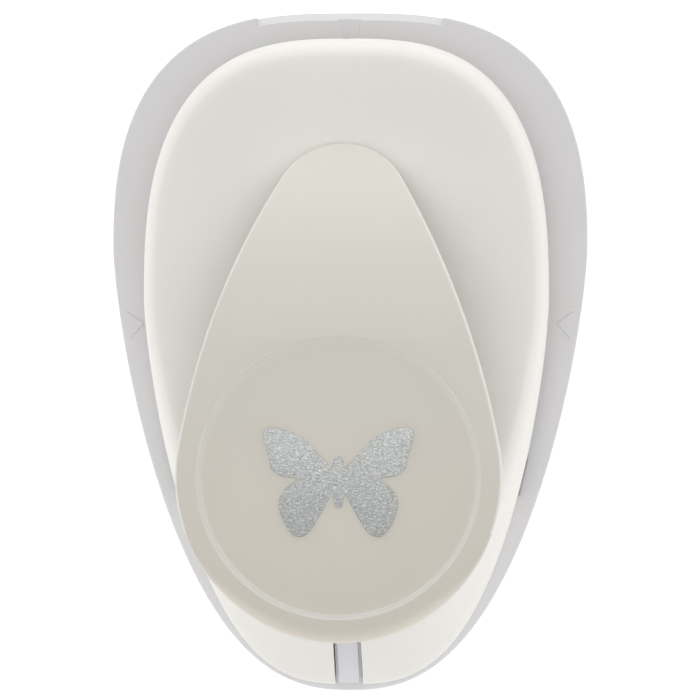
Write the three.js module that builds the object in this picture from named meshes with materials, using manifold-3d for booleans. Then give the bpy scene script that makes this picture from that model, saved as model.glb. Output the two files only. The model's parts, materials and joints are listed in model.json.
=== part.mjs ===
// Lever craft punch: an egg-shaped paper punch that cuts a butterfly.
// Millimetres, +Z up. X runs across, +Y points to the wide end where paper goes in, -Y to the thumb pad.
// The origin is the centre of the footprint, on the surface that the punch stands on.
import * as THREE from "three";
import { mergeVertices } from "three/addons/utils/BufferGeometryUtils.js";
import Module from "manifold-3d";

const wasm = await Module();
wasm.setup();

// ---- Driving dimensions ----
const WALL = 2.2; // plastic shells
const DIE_CENTRE_Y = 4.5; // centre of the cut shape, where the alignment marks point
const GAP = 0.15; // between pieces that touch on the bench

// Heights of the stack, from the table up
const DECK_UNDER = 5.5; // underside of the base deck
const DECK_TOP = 9; // surface that the paper lies on
const DIE_PLATE_UNDER = 7;
const GUIDE_UNDER = 10.3; // underside of the guide plate: paper passes below it
const GUIDE_TOP = 12.8;
const SKIRT_UNDER = 11.4; // lower edge of the housing round the throat
const HOUSING_SEAT = 9.2; // lower edge of the housing where it sits on the base
const THROAT_END_Y = -23.4; // the throat is closed in front of this line

// Egg outlines: widest at `widest`, with one pair of exponents behind that line and one in front
const BASE_EGG = {
  half: 38.5,
  rear: 55,
  front: -55,
  widest: 16.7,
  rearPower: [3.06, 2.5],
  frontPower: [2.49, 1.415],
};
const HOUSING_EGG = {
  half: 32.2,
  rear: 50,
  front: -53.9,
  widest: 8,
  rearPower: [2.85, 2.75],
  frontPower: [2.7, 1.4],
};
const NOSE_FULLNESS = 0.15; // added to the housing's front exponents where its nose is fullest

// Lever
const PIVOT = { y: 25, z: 23, radius: 2 };
const PRESSED = THREE.MathUtils.degToRad(14.5); // swing from rest to the end of the cut
const PAD = { y: -19.1, radius: 21.7, wall: 0.45, floor: 48.9 };
const LEVER_TOP = 50;
const LEVER_SHELL = 2.4;
const TEARDROP = { padRadius: 25, tipY: 21.9, tipRadius: 10.6, flankRadius: 130, frontStretch: 1.028 };
const FRAME = { half: 5.6, sheet: 1.2, front: -14, rear: 27.5, drop: 5 };
const PRESS_PIN = { y: DIE_CENTRE_Y, z: 28.9, radius: 3 };
const EMBLEM = { width: 23.2, y: -20, gap: 0.05, thick: 0.3 };

// Punch
const PUNCH_WIDTH = 36;
const PUNCH_UNDER = 10.7;
const HOLDER_UNDER = 20;
const HOLDER_TOP = 24;
const LUG_UNDER = 22;
const POST = { x: 21.8, radius: 2, top: 27.5 };
const SPRING = { radius: 2.95, wire: 0.4, turns: 4.2, flatTurns: 0.75 };

// Lock: a strip in the sloping nose that slides up and back under the lever
const LOCK_SLOT = { half: 2.25, front: -55, rear: -36.9, under: HOUSING_SEAT - 0.2 };
const LOCK_STRIP = { half: 1.65, shoulderHalf: 2.1, start: -2.8, end: 11.5 };
const NOSE_SLOPE = { y: -52, z: 13, along: [0.679, 0.734] }; // a line close to the nose, going up and back

// ---- Materials ----
const finish = (color, roughness, metalness) =>
  new THREE.MeshStandardMaterial({ color, roughness, metalness });
const WHITE_PLASTIC = finish(0xe4e2da, 0.5, 0);
const NATURAL_NYLON = finish(0xe9e4d2, 0.55, 0);
const STEEL = finish(0xb4b6b8, 0.35, 1);
const DIE_CAST = finish(0x8f9294, 0.5, 1);
const SPRING_STEEL = finish(0xc4c6c8, 0.25, 1);
const ZINC_SCREW = finish(0xc9ccd0, 0.3, 1);
const SILVER_FOIL = finish(0xbcc4c2, 0.4, 0.9);

// ---- Solids ----
function solid(geometry) {
  const bare = geometry.clone();
  bare.deleteAttribute("normal");
  bare.deleteAttribute("uv");
  const merged = mergeVertices(bare, 1e-4);
  const corners = Array.from(merged.index.array);
  const triangles = [];
  for (let i = 0; i < corners.length; i += 3) {
    const [a, b, c] = corners.slice(i, i + 3);
    if (a !== b && b !== c && c !== a) triangles.push(a, b, c);
  }
  const vertProperties = merged.attributes.position.array;
  const build = (list) =>
    new wasm.Manifold(new wasm.Mesh({ numProp: 3, vertProperties, triVerts: new Uint32Array(list) }));
  const made = build(triangles);
  return made.volume() > 0 ? made : build(triangles.reverse());
}

function geometryOf(manifold) {
  const made = manifold.getMesh();
  const position = new Float32Array(made.numVert * 3);
  for (let i = 0; i < made.numVert; i++) {
    position.set(made.vertProperties.subarray(i * made.numProp, i * made.numProp + 3), i * 3);
  }
  const geometry = new THREE.BufferGeometry();
  geometry.setAttribute("position", new THREE.BufferAttribute(position, 3));
  geometry.setIndex(new THREE.BufferAttribute(made.triVerts, 1));
  geometry.computeVertexNormals();
  return geometry;
}

const joined = (parts) => parts.reduce((sum, part) => sum.add(part));
const cutBy = (body, tools) => tools.reduce((rest, tool) => rest.subtract(tool), body);

function box([x0, x1], [y0, y1], [z0, z1]) {
  const geometry = new THREE.BoxGeometry(x1 - x0, y1 - y0, z1 - z0);
  return solid(geometry.translate((x0 + x1) / 2, (y0 + y1) / 2, (z0 + z1) / 2));
}

function cylinder(x, y, [z0, z1], radius, sides = 14) {
  const geometry = new THREE.CylinderGeometry(radius, radius, z1 - z0, sides);
  return solid(geometry.rotateX(Math.PI / 2).translate(x, y, (z0 + z1) / 2));
}

function crossCylinder([x0, x1], y, z, radius, sides = 16) {
  const geometry = new THREE.CylinderGeometry(radius, radius, x1 - x0, sides);
  return solid(geometry.rotateZ(Math.PI / 2).translate((x0 + x1) / 2, y, z));
}

// A flat plate: an outline in X and Y, given a thickness.
function plate(points, [z0, z1]) {
  const shape = new THREE.Shape(points);
  const geometry = new THREE.ExtrudeGeometry(shape, { depth: z1 - z0, bevelEnabled: false });
  return solid(geometry.translate(0, 0, z0));
}

// A plate that stands upright: an outline in Y and Z, given a width across X.
function upright(points, [x0, x1]) {
  const shape = new THREE.Shape(points.map(([y, z]) => new THREE.Vector2(y, z)));
  const geometry = new THREE.ExtrudeGeometry(shape, { depth: x1 - x0, bevelEnabled: false });
  const axes = new THREE.Matrix4().makeBasis(
    new THREE.Vector3(0, 1, 0),
    new THREE.Vector3(0, 0, 1),
    new THREE.Vector3(1, 0, 0),
  );
  return solid(geometry.applyMatrix4(axes).translate(x0, 0, 0));
}

// A turned piece: [radius, height] pairs from the axis back to the axis, standing at x, y.
function turned(profile, x, y, sides = 12) {
  const points = profile.map(([radius, height]) => new THREE.Vector2(radius, height));
  return solid(new THREE.LatheGeometry(points, sides).rotateX(Math.PI / 2).translate(x, y, 0));
}

// A skin over closed rings of equal length, from the lowest ring to the highest. Each end is closed by
// a ladder of strips across X, so the rings must mirror left to right about the points `tail` and `nose`.
function loft(rings, tail, nose) {
  const count = rings[0].length;
  const last = (rings.length - 1) * count;
  const faces = [];
  const quad = (a, b, c, d) => faces.push(a, b, c, a, c, d);
  for (let i = 0; i < count; i++) {
    const next = (i + 1) % count;
    for (let low = 0; low < last; low += count) {
      quad(low + i, low + next, low + count + next, low + count + i);
    }
  }
  const half = (nose - tail + count) % count;
  for (let k = 0; k < half; k++) {
    const right = [(tail - k + count) % count, (tail - k - 1 + count) % count];
    const left = [(tail + k) % count, (tail + k + 1) % count];
    quad(last + right[0], last + left[0], last + left[1], last + right[1]);
    quad(right[1], left[1], left[0], right[0]);
  }
  const geometry = new THREE.BufferGeometry().setFromPoints(rings.flat());
  return solid(geometry.setIndex(faces));
}

// ---- Outlines ----
const EGG_POINTS = 48;
const eggLoft = (rings) => loft(rings, EGG_POINTS / 4, (EGG_POINTS * 3) / 4);

// One ring of an egg, with its own half width, rear and front where they are given.
function eggRing(egg, changes = {}) {
  const { half, rear, front, widest, rearPower, frontPower } = { ...egg, ...changes };
  return Array.from({ length: EGG_POINTS }, (_, i) => {
    const angle = (2 * Math.PI * i) / EGG_POINTS;
    const [c, s] = [Math.cos(angle), Math.sin(angle)];
    const [p, q] = s >= 0 ? rearPower : frontPower;
    const reach = s >= 0 ? rear - widest : front - widest;
    const x = half * Math.sign(c) * Math.abs(c) ** (2 / p);
    return new THREE.Vector2(x, widest + reach * Math.abs(s) ** (2 / q));
  });
}

const insetEgg = (egg, inset) =>
  eggRing(egg, { half: egg.half - inset, rear: egg.rear - inset, front: egg.front + inset });
const baseRing = ([inset, z]) => insetEgg(BASE_EGG, inset).map((p) => new THREE.Vector3(p.x, p.y, z));

// The lever's teardrop: pad circle, tip circle and two long flanks, all tangent, shrunk by `inset`.
const TEARDROP_STEPS = { flank: 7, tip: 10, pad: 26 };
function teardropRing(inset) {
  const { padRadius, tipY, tipRadius, flankRadius, frontStretch } = TEARDROP;
  const [toPad, toTip] = [flankRadius - padRadius, flankRadius - tipRadius];
  const spacing = tipY - PAD.y;
  const flankY = PAD.y + (spacing ** 2 + toPad ** 2 - toTip ** 2) / (2 * spacing);
  const flankX = Math.sqrt(toPad ** 2 - (PAD.y - flankY) ** 2);
  const padAngle = Math.atan2(PAD.y - flankY, flankX);
  const tipAngle = Math.atan2(tipY - flankY, flankX);
  const arc = (x, y, radius, from, to, steps) =>
    Array.from({ length: steps }, (_, i) => {
      const angle = from + ((to - from) * i) / steps;
      const reach = radius - inset;
      return new THREE.Vector2(x + reach * Math.cos(angle), y + reach * Math.sin(angle));
    });
  const ring = [
    ...arc(-flankX, flankY, flankRadius, padAngle, tipAngle, TEARDROP_STEPS.flank),
    ...arc(0, tipY, tipRadius, tipAngle, Math.PI - tipAngle, TEARDROP_STEPS.tip),
    ...arc(flankX, flankY, flankRadius, Math.PI - tipAngle, Math.PI - padAngle, TEARDROP_STEPS.flank),
    ...arc(0, PAD.y, padRadius, Math.PI - padAngle, 2 * Math.PI + padAngle, TEARDROP_STEPS.pad),
  ];
  const stretched = (y) => (y < PAD.y ? PAD.y + (y - PAD.y) * frontStretch : y);
  return ring.map((p) => new THREE.Vector2(p.x, stretched(p.y)));
}
const TEARDROP_TAIL = TEARDROP_STEPS.flank + TEARDROP_STEPS.tip / 2;
const TEARDROP_NOSE = 2 * TEARDROP_STEPS.flank + TEARDROP_STEPS.tip + TEARDROP_STEPS.pad / 2;

// Butterfly silhouette, `width` across, centred on x = 0 and on `y`, grown sideways by `grow`.
function butterfly(width, y, grow = 0) {
  const rightHalf = [
    [0, 3.85], [0.55, 3.65], [0.76, 3], [1.05, 2.2], [2.7, 3.9], [5.2, 6.4], [8, 7.85], [10.4, 8.3],
    [11.4, 7.6], [11.2, 5.8], [10.5, 3.7], [10.2, 2.1], [8.9, 0.95], [6.35, 0.4], [7.9, -0.9], [9.05, -2.9],
    [8.7, -5.1], [7.6, -7.3], [6.2, -8.4], [4.4, -7.6], [2.4, -4.4], [1.1, -2.05], [0.7, -2.9], [0.5, -3.8],
    [0, -4.05],
  ];
  const curve = new THREE.SplineCurve(rightHalf.map(([px, py]) => new THREE.Vector2(px, py)));
  const scale = width / 23;
  const points = curve.getPoints(38).map((p) => new THREE.Vector2(Math.max(p.x, 0) * scale, p.y * scale));
  const whole = [...points, ...points.slice(1, -1).map((p) => new THREE.Vector2(-p.x, p.y)).reverse()];
  const moved = grow ? grown(whole, grow) : whole;
  return moved.map((p) => new THREE.Vector2(p.x, p.y + y));
}

// A clockwise outline moved outwards by `distance`, corner by corner.
function grown(outline, distance) {
  return outline.map((p, i) => {
    const before = outline.at(i - 1);
    const after = outline[(i + 1) % outline.length];
    const along = after.clone().sub(before).normalize();
    return new THREE.Vector2(p.x - along.y * distance, p.y + along.x * distance);
  });
}

function roundedRectangle([x0, x1], [y0, y1], radius, steps = 4) {
  const [left, right] = [x0 + radius, x1 - radius];
  const [front, rear] = [y0 + radius, y1 - radius];
  const centres = [[right, rear], [left, rear], [left, front], [right, front]];
  return centres.flatMap(([x, y], quarter) =>
    Array.from({ length: steps + 1 }, (_, i) => {
      const angle = (Math.PI / 2) * (quarter + i / steps);
      return new THREE.Vector2(x + radius * Math.cos(angle), y + radius * Math.sin(angle));
    }),
  );
}

// The die plate, the spacer and the guide plate share one outline, narrower at the nose.
function plateOutline(grow = 0) {
  const right = [[14, 31], [22, 31], [25, 28], [25, -17], [23, -23], [17, -35], [14, -37]];
  const points = right.map(([x, y]) => new THREE.Vector2(x + grow, y + Math.sign(y) * grow));
  return [...points, ...points.map((p) => new THREE.Vector2(-p.x, p.y)).reverse()];
}

// ---- Screws ----
const THREAD = 1.25;
const BASE_SCREWS = [[9, -33], [-9, -33], [17, -28.5], [-17, -28.5]];
const DIE_SCREWS = [[20, 24], [-20, 24]];
const GUIDE_SCREWS = [[20.5, 20], [-20.5, 20]];
const COVER_SCREWS = [[15, 36.5], [-15, 36.5]];
const PUNCH_SCREWS = [[8, 9.5], [-8, 9.5], [6.5, -2.5], [-6.5, -2.5]];
const PRESS_PLATE_SCREWS = [[0, -1.6], [0, 10.4]];
const LEVER_SCREWS = [[0, -9.5], [0, 1]];
const BRACKET_RIVETS = [[0, 20.6], [0, 29.4]];

const drilled = (points, radius, heights) => points.map(([x, y]) => cylinder(x, y, heights, radius, 10));

// A screw with a cross cut in its head: `head` is the height of the head's face, `tip` that of the point.
function screw([x, y], head, tip, countersunk) {
  const up = Math.sign(head - tip);
  const [radius, height] = countersunk ? [2.5, 1.25] : [2.4, 1.5];
  const under = head - up * height;
  const profile = [
    [0, tip],
    [THREAD * 0.5, tip],
    [THREAD, tip + up * 1.2],
    [THREAD, under],
    [countersunk ? THREAD + 0.05 : radius, under],
    [radius, countersunk ? head - up * 0.2 : head - up * 0.5],
    [radius * 0.85, head],
    [0, head],
  ];
  const cross = [head - up * 0.8, head + up * 0.5].sort((a, b) => a - b);
  return cutBy(turned(profile, x, y, 8), [
    box([x - 1.3, x + 1.3], [y - 0.25, y + 0.25], cross),
    box([x - 0.25, x + 0.25], [y - 1.3, y + 1.3], cross),
  ]);
}

// The hole for a countersunk screw, from its face at `head` to beyond `far`.
function countersink([x, y], head, far) {
  const up = Math.sign(head - far);
  const hole = [[0, far], [1.55, far], [1.55, head - up * 1.35]];
  const sink = [[2.9, head], [2.9, head + up], [0, head + up]];
  return turned([...hole, ...sink], x, y, 8);
}

// ---- Base ----
function base() {
  const roundedTop = [[0, DECK_TOP - 0.35], [0.1, DECK_TOP - 0.1], [0.35, DECK_TOP]];
  const outer = eggLoft([[1.1, 0], [0.6, 0.9], [0.05, 6.4], ...roundedTop].map(baseRing));
  const hollow = eggLoft([[3, -1], [2.4, DECK_UNDER]].map(baseRing));
  const cradle = plate(plateOutline(2), [1.5, DECK_UNDER + 0.5]).subtract(plate(plateOutline(0.2), [0, 7]));
  const ribs = [
    box([-0.8, 0.8], [-53, -38.5], [1.5, 6]),
    box([-0.8, 0.8], [32, 53], [1.5, 6]),
    box([-37, -26.5], [-0.8, 0.8], [1.5, 6]),
    box([26.5, 37], [-0.8, 0.8], [1.5, 6]),
  ];
  const bosses = [
    ...BASE_SCREWS.map(([x, y]) => cylinder(x, y, [0.6, 6], 4, 16)),
    ...DIE_SCREWS.map(([x, y]) => cylinder(x, y, [1.5, 6], 2.8, 12)),
  ];
  const inside = [cradle, ...ribs, ...bosses].map((piece) => piece.intersect(outer));
  return cutBy(joined([outer.subtract(hollow), ...inside]), [
    plate(plateOutline(0.2), [DIE_PLATE_UNDER, DECK_TOP + 1]),
    plate(roundedRectangle([-21, 21], [-12, 19.5], 5), [-1, DIE_PLATE_UNDER + 1]),
    ...BASE_SCREWS.map(([x, y]) => cylinder(x, y, [-1, 3.2], 2.9, 14)),
    ...drilled(BASE_SCREWS, 1.6, [-1, 8]),
    ...drilled(DIE_SCREWS, THREAD + GAP, [0.9, 8]),
    rearBevel(),
    ...alignmentMarks(),
    ...throatEndSlots(),
  ]);
}

// The sloping cut in the rear edge that leads the paper in.
function rearBevel() {
  const kept = eggLoft([[-1, 4], [0, 6], [1.35, 9], [1.8, 10.2]].map(baseRing));
  return box([-15.1, 15.1], [40, 60], [5.2, DECK_TOP + 1]).subtract(kept);
}

// Engraved marks on the flange that point at the centre of the die: chevrons at the sides, a wedge behind.
function alignmentMarks() {
  const [grooveDepth, wedgeDepth] = [0.2, 0.35];
  const arm = (x, turn) => {
    const groove = new THREE.BoxGeometry(3.4, 0.45, 2 * grooveDepth).translate(1.7, 0, 0);
    return solid(groove.rotateZ(turn).translate(x, DIE_CENTRE_Y, DECK_TOP));
  };
  const [spread, lean] = [0.7, 0.12];
  const right = [arm(33.3, -lean - spread), arm(33.3, -lean + spread)];
  const left = [arm(-33.3, Math.PI + lean - spread), arm(-33.3, Math.PI + lean + spread)];
  const wedge = [[1.3, 50], [2.2, 54.5], [-2.2, 54.5], [-1.3, 50]].map(([x, y]) => new THREE.Vector2(x, y));
  return [...right, ...left, plate(wedge, [DECK_TOP - wedgeDepth, DECK_TOP + 1])];
}

// Two narrow slots in the deck, under the housing's edge where the throat ends.
function throatEndSlots() {
  const right = [[28.25, -17.5], [29.05, -17.5], [27.65, THROAT_END_Y], [26.85, THROAT_END_Y]];
  const depth = [DECK_TOP - 2, DECK_TOP + 1];
  return [-1, 1].map((side) => plate(right.map(([x, y]) => new THREE.Vector2(side * x, y)), depth));
}

// ---- Die set ----
function diePlate() {
  return cutBy(plate(plateOutline(), [DIE_PLATE_UNDER + 0.05, DECK_TOP]), [
    plate(butterfly(PUNCH_WIDTH, DIE_CENTRE_Y, 0.15), [5, 11]),
    ...DIE_SCREWS.map((at) => countersink(at, DECK_TOP - 0.1, 5)),
    ...drilled(BASE_SCREWS, 1.6, [5, 11]),
  ]);
}

function throatSpacer() {
  const nose = box([-40, 40], [-60, THROAT_END_Y], [DECK_TOP + 0.05, GUIDE_UNDER - 0.05]);
  return cutBy(plate(plateOutline(), [8, 12]).intersect(nose), drilled(BASE_SCREWS, 1.6, [8, 12]));
}

function guidePlate() {
  const entry = [[29.4, GUIDE_UNDER - 1], [32, GUIDE_UNDER - 1], [32, GUIDE_UNDER + 1.4]];
  return cutBy(plate(plateOutline(), [GUIDE_UNDER, GUIDE_TOP]), [
    plate(butterfly(PUNCH_WIDTH, DIE_CENTRE_Y, 0.18), [9, 14]),
    upright(entry, [-30, 30]),
    ...GUIDE_SCREWS.map((at) => countersink(at, GUIDE_UNDER + 0.1, 14)),
    ...drilled(BASE_SCREWS, 1.6, [9, 14]),
    ...drilled(BRACKET_RIVETS, 1.2, [9, 14]),
    ...[-POST.x, POST.x].map((x) => cylinder(x, DIE_CENTRE_Y, [GUIDE_UNDER + 0.4, 14], POST.radius + 0.1)),
  ]);
}

// ---- Housing ----
// Rings of the outer skin: half width, rear, front, height at the rear and sides, height at the nose,
// and how full the nose is, from 0 to 1.
const HOUSING_RINGS = [
  [30.9, 48.5, -53.9, HOUSING_SEAT, HOUSING_SEAT, 1],
  [31.5, 49.1, -53.8, 13.5, 10.6, 1],
  [32.2, 49.85, -52.1, 19.5, 13, 0.5],
  [32, 49.1, -48.7, 25, 17, 0],
  [31.5, 48.3, -45.4, 28.3, 20.8, 0],
  [30.75, 47.4, -42.3, 30.1, 23.5, 0],
  [29.4, 45.8, -38.9, 31.15, 25.6, 0],
  [26.5, 42.6, -34.8, 31.7, 26.7, 0],
  [22, 38.5, -29, 31.95, 27.7, 0],
  [11, 28, -14, 32.1, 29.4, 0],
];

// A skin over some of the rings, moved inwards by `inset`, and down by the same amount above the widest ring.
function housingSkin(levels, inset, lowest) {
  const rings = levels.map((level) => {
    const [half, rear, front, high, low, fullness] = HOUSING_RINGS[level];
    const frontPower = HOUSING_EGG.frontPower.map((power) => power + fullness * NOSE_FULLNESS);
    const changes = { half: half - inset, rear: rear - inset, front: front + inset, frontPower };
    const drop = level > 2 ? inset : 0;
    const rise = (y) => low + (high - low) * THREE.MathUtils.smoothstep(y, -54, -12) - drop;
    return eggRing(HOUSING_EGG, changes).map((p) => new THREE.Vector3(p.x, p.y, level ? rise(p.y) : lowest));
  });
  return eggLoft(rings);
}

function upperHousing() {
  const outer = housingSkin([0, 1, 2, 3, 4, 5, 6, 7, 8, 9], 0, HOUSING_SEAT);
  const inner = housingSkin([0, 2, 4, 6, 9], WALL, HOUSING_SEAT - 1);
  const bosses = [
    ...BASE_SCREWS.map(([x, y]) => cylinder(x, y, [GUIDE_TOP + GAP, 40], 3, 14)),
    ...GUIDE_SCREWS.map(([x, y]) => cylinder(x, y, [GUIDE_TOP + GAP, 40], 2.8, 14)),
    ...COVER_SCREWS.map(([x, y]) => cylinder(x, y, [GUIDE_TOP + 0.3, 40], 2.8, 14)),
  ];
  const throatWall = box([-40, 40], [THROAT_END_Y - 2, THROAT_END_Y], [HOUSING_SEAT, 15]);
  const inside = [throatWall, ...bosses, ...lockRails()].map((piece) => piece.intersect(outer));
  return cutBy(joined([outer.subtract(inner), ...inside]), [
    box([-50, 50], [THROAT_END_Y, 60], [0, SKIRT_UNDER]),
    plate(plateOutline(0.4), [0, GUIDE_TOP + GAP]),
    plate(roundedRectangle([-6.3, 6.3], [-19.4, 29.3], 3), [20, 40]),
    box([-LOCK_SLOT.half, LOCK_SLOT.half], [LOCK_SLOT.front, LOCK_SLOT.rear], [LOCK_SLOT.under, 40]),
    ...drilled([...BASE_SCREWS, ...GUIDE_SCREWS, ...COVER_SCREWS], THREAD + GAP, [5, 25.5]),
    ...[[33.4, DIE_CENTRE_Y], [-33.4, DIE_CENTRE_Y], [0, 51.1]].map(([x, y]) => cylinder(x, y, [5, 22], 1.5)),
  ]);
}

// The floor that closes the housing round the guide plate.
function throatCover() {
  const ring = eggRing(HOUSING_EGG, { half: 28.4, rear: 46, front: -50 });
  return cutBy(plate(ring, [SKIRT_UNDER, GUIDE_TOP + 0.1]), [
    box([-50, 50], [-60, THROAT_END_Y + 0.3], [5, 20]),
    plate(plateOutline(0.3), [5, 20]),
    ...COVER_SCREWS.map((at) => countersink(at, SKIRT_UNDER + 0.1, 14)),
  ]);
}

// ---- Hinge ----
const EAR = { inside: 6.9, outside: 8.4 };
const CLIP_GROOVE = { inside: 8.65, outside: 9.35, radius: 1.5 };
const across = (side, inside, outside) => (side > 0 ? [inside, outside] : [-outside, -inside]);

function pivotBracket() {
  const [rear, front, shoulder] = [31, 18.4, 17];
  const floor = box([-EAR.outside, EAR.outside], [front, rear], [GUIDE_TOP + 0.05, GUIDE_TOP + 1.6]);
  const crown = Array.from({ length: 9 }, (_, i) => {
    const angle = (Math.PI * i) / 8;
    return [PIVOT.y + 4 * Math.cos(angle), PIVOT.z + 4 * Math.sin(angle)];
  });
  const foot = [[front, GUIDE_TOP + 0.05], [rear, GUIDE_TOP + 0.05]];
  const outline = [...foot, [rear, shoulder], ...crown, [front, shoulder]];
  const ears = [-1, 1].map((side) => upright(outline, across(side, EAR.inside, EAR.outside)));
  return cutBy(joined([floor, ...ears]), [
    crossCylinder([-20, 20], PIVOT.y, PIVOT.z, PIVOT.radius + 0.08),
    ...drilled(BRACKET_RIVETS, 1.2, [9, 20]),
  ]);
}

function bracketRivet([x, y]) {
  const seat = GUIDE_TOP + 1.65;
  const shank = [[0, GUIDE_UNDER + 0.1], [1.05, GUIDE_UNDER + 0.1], [1.05, seat]];
  const head = [[2.2, seat], [1.8, seat + 0.9], [0, seat + 1.2]];
  return turned([...shank, ...head], x, y);
}

function pivotPin() {
  const core = crossCylinder([-12, 12], PIVOT.y, PIVOT.z, CLIP_GROOVE.radius);
  const groove = (side) =>
    crossCylinder(across(side, CLIP_GROOVE.inside, CLIP_GROOVE.outside), PIVOT.y, PIVOT.z, 3).subtract(core);
  return cutBy(crossCylinder([-10, 10], PIVOT.y, PIVOT.z, PIVOT.radius), [groove(-1), groove(1)]);
}

function retainingClip(side) {
  return cutBy(crossCylinder(across(side, 8.75, 9.25), PIVOT.y, PIVOT.z, 3.6), [
    crossCylinder([-12, 12], PIVOT.y, PIVOT.z, CLIP_GROOVE.radius + GAP),
    box([-12, 12], [PIVOT.y - 1.3, PIVOT.y + 1.3], [PIVOT.z - 5, PIVOT.z]),
  ]);
}

function pivotWasher(side) {
  const ring = crossCylinder(across(side, 5.75, 6.75), PIVOT.y, PIVOT.z, 3.8);
  return ring.subtract(crossCylinder([-12, 12], PIVOT.y, PIVOT.z, PIVOT.radius + 0.1));
}

// ---- Lever ----
// Height of the lever's top along its length: level over the pad, then falling to the tip.
const leverCrest = (y) => LEVER_TOP - 16.5 * (Math.max(0, y) / 32.5) ** 2.05;
const leverRim = (y) => Math.max(32.5, leverCrest(y) - 5.2);

// Steps of the edge round: inset, drop along the flanks, drop at the front lip.
const LIP_STEPS = [
  [0, 0.5, 2.3],
  [0.3, 0.1, 1.3],
  [1.1, 0, 0.4],
  [2.4, 0, 0],
];

function leverSkin(steps, shell, lowest) {
  const lifted = (inset, height) =>
    teardropRing(inset + shell).map((p) => new THREE.Vector3(p.x, p.y, height(p.y)));
  const lip = (y, flank, front) =>
    THREE.MathUtils.lerp(front, flank, THREE.MathUtils.smoothstep(y, -42, -30));
  const edge = steps.map(([inset, flank, front]) =>
    lifted(inset, (y) => leverCrest(y) - shell - lip(y, flank, front)),
  );
  return loft([lifted(0, lowest), ...edge], TEARDROP_TAIL, TEARDROP_NOSE);
}

function leverCover() {
  const outer = leverSkin(LIP_STEPS, 0, leverRim);
  const inner = leverSkin([LIP_STEPS[0], LIP_STEPS[3]], LEVER_SHELL, (y) => leverRim(y) - 3);
  const ceiling = (y) => leverCrest(y) - LEVER_SHELL;
  const bossSpan = (y) => [leverCrest(y) - FRAME.drop + 0.2, ceiling(y) + 0.6];
  const bosses = LEVER_SCREWS.map(([x, y]) => cylinder(x, y, bossSpan(y), 3, 14));
  const ribs = [-12, 12].map((x) => {
    const top = [[-36, ceiling(-36) + 0.5], [8, ceiling(8) + 0.5]];
    const bottom = [[8, ceiling(8) - 2], [-36, ceiling(-36) - 2]];
    return upright([...top, ...bottom], [x - 0.7, x + 0.7]);
  });
  const step = [[PAD.radius - PAD.wall, PAD.floor], [PAD.radius, LEVER_TOP + 0.05]];
  const dish = [[0, PAD.floor], ...step, [PAD.radius, 52], [0, 52]];
  return cutBy(joined([outer.subtract(inner), ...bosses, ...ribs, lockCatch()]), [
    turned(dish, 0, PAD.y, 36),
    ...LEVER_SCREWS.map(([x, y]) => cylinder(x, y, [leverRim(y) - 5, leverCrest(y) - 1.6], THREAD + GAP, 12)),
  ]);
}

// The finger under the pad that the lock holds. It is laid out where it stands with the lever pressed.
function lockCatch() {
  const pressed = [[-42.4, 19.3], [-42.4, 20.2], [-39.8, 22.4], [-39.8, 32.2], [-38.2, 32.2], [-38.2, 19.3]];
  const [c, s] = [Math.cos(PRESSED), Math.sin(PRESSED)];
  const atRest = pressed.map(([py, pz]) => {
    const [y, z] = [py - PIVOT.y, pz - PIVOT.z];
    return [PIVOT.y + y * c + z * s, PIVOT.z - y * s + z * c];
  });
  return upright(atRest, [-1.6, 1.6]);
}

// A folded steel channel: two side plates under one web, from the hinge to beyond the press pin.
function leverFrame() {
  const web = (y, depth) => [y, leverCrest(y) - FRAME.drop - depth];
  const spine = Array.from({ length: 8 }, (_, i) => THREE.MathUtils.lerp(FRAME.front, FRAME.rear, i / 7));
  const knuckle = Array.from({ length: 7 }, (_, i) => {
    const angle = -Math.PI * (0.05 + (0.75 * i) / 6);
    return [PIVOT.y + 4 * Math.cos(angle), PIVOT.z + 4 * Math.sin(angle)];
  });
  const lower = [[16.8, 24.7], [6, 25.6], [3, 25.6], [1, 26.8], [FRAME.front, 41.5]];
  const sideOutline = [...spine.map((y) => web(y, 0)), [FRAME.rear, 27], ...knuckle, ...lower];
  const webOutline = [...spine.map((y) => web(y, 0)), ...spine.map((y) => web(y, FRAME.sheet)).reverse()];
  const sidePlate = (side) => upright(sideOutline, across(side, FRAME.half - FRAME.sheet, FRAME.half));
  const sides = [-1, 1].map(sidePlate);
  return cutBy(joined([upright(webOutline, [-FRAME.half, FRAME.half]), ...sides]), [
    crossCylinder([-12, 12], PIVOT.y, PIVOT.z, PIVOT.radius + 0.15),
    crossCylinder([-12, 12], PRESS_PIN.y, PRESS_PIN.z, 1.9),
    ...LEVER_SCREWS.map(([x, y]) => cylinder(x, y, [leverCrest(y) - 9, leverCrest(y)], 1.5, 12)),
  ]);
}

function pressPin() {
  const roller = FRAME.half - FRAME.sheet - 0.2;
  return joined([
    crossCylinder([-roller, roller], PRESS_PIN.y, PRESS_PIN.z, PRESS_PIN.radius),
    crossCylinder([-FRAME.half - 0.3, FRAME.half + 0.3], PRESS_PIN.y, PRESS_PIN.z, 1.8),
  ]);
}

// ---- Plunger ----
function punch() {
  const blade = plate(butterfly(PUNCH_WIDTH, DIE_CENTRE_Y), [PUNCH_UNDER, HOLDER_UNDER - 0.05]);
  return cutBy(blade, drilled(PUNCH_SCREWS, THREAD + GAP, [13, 22]));
}

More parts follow.
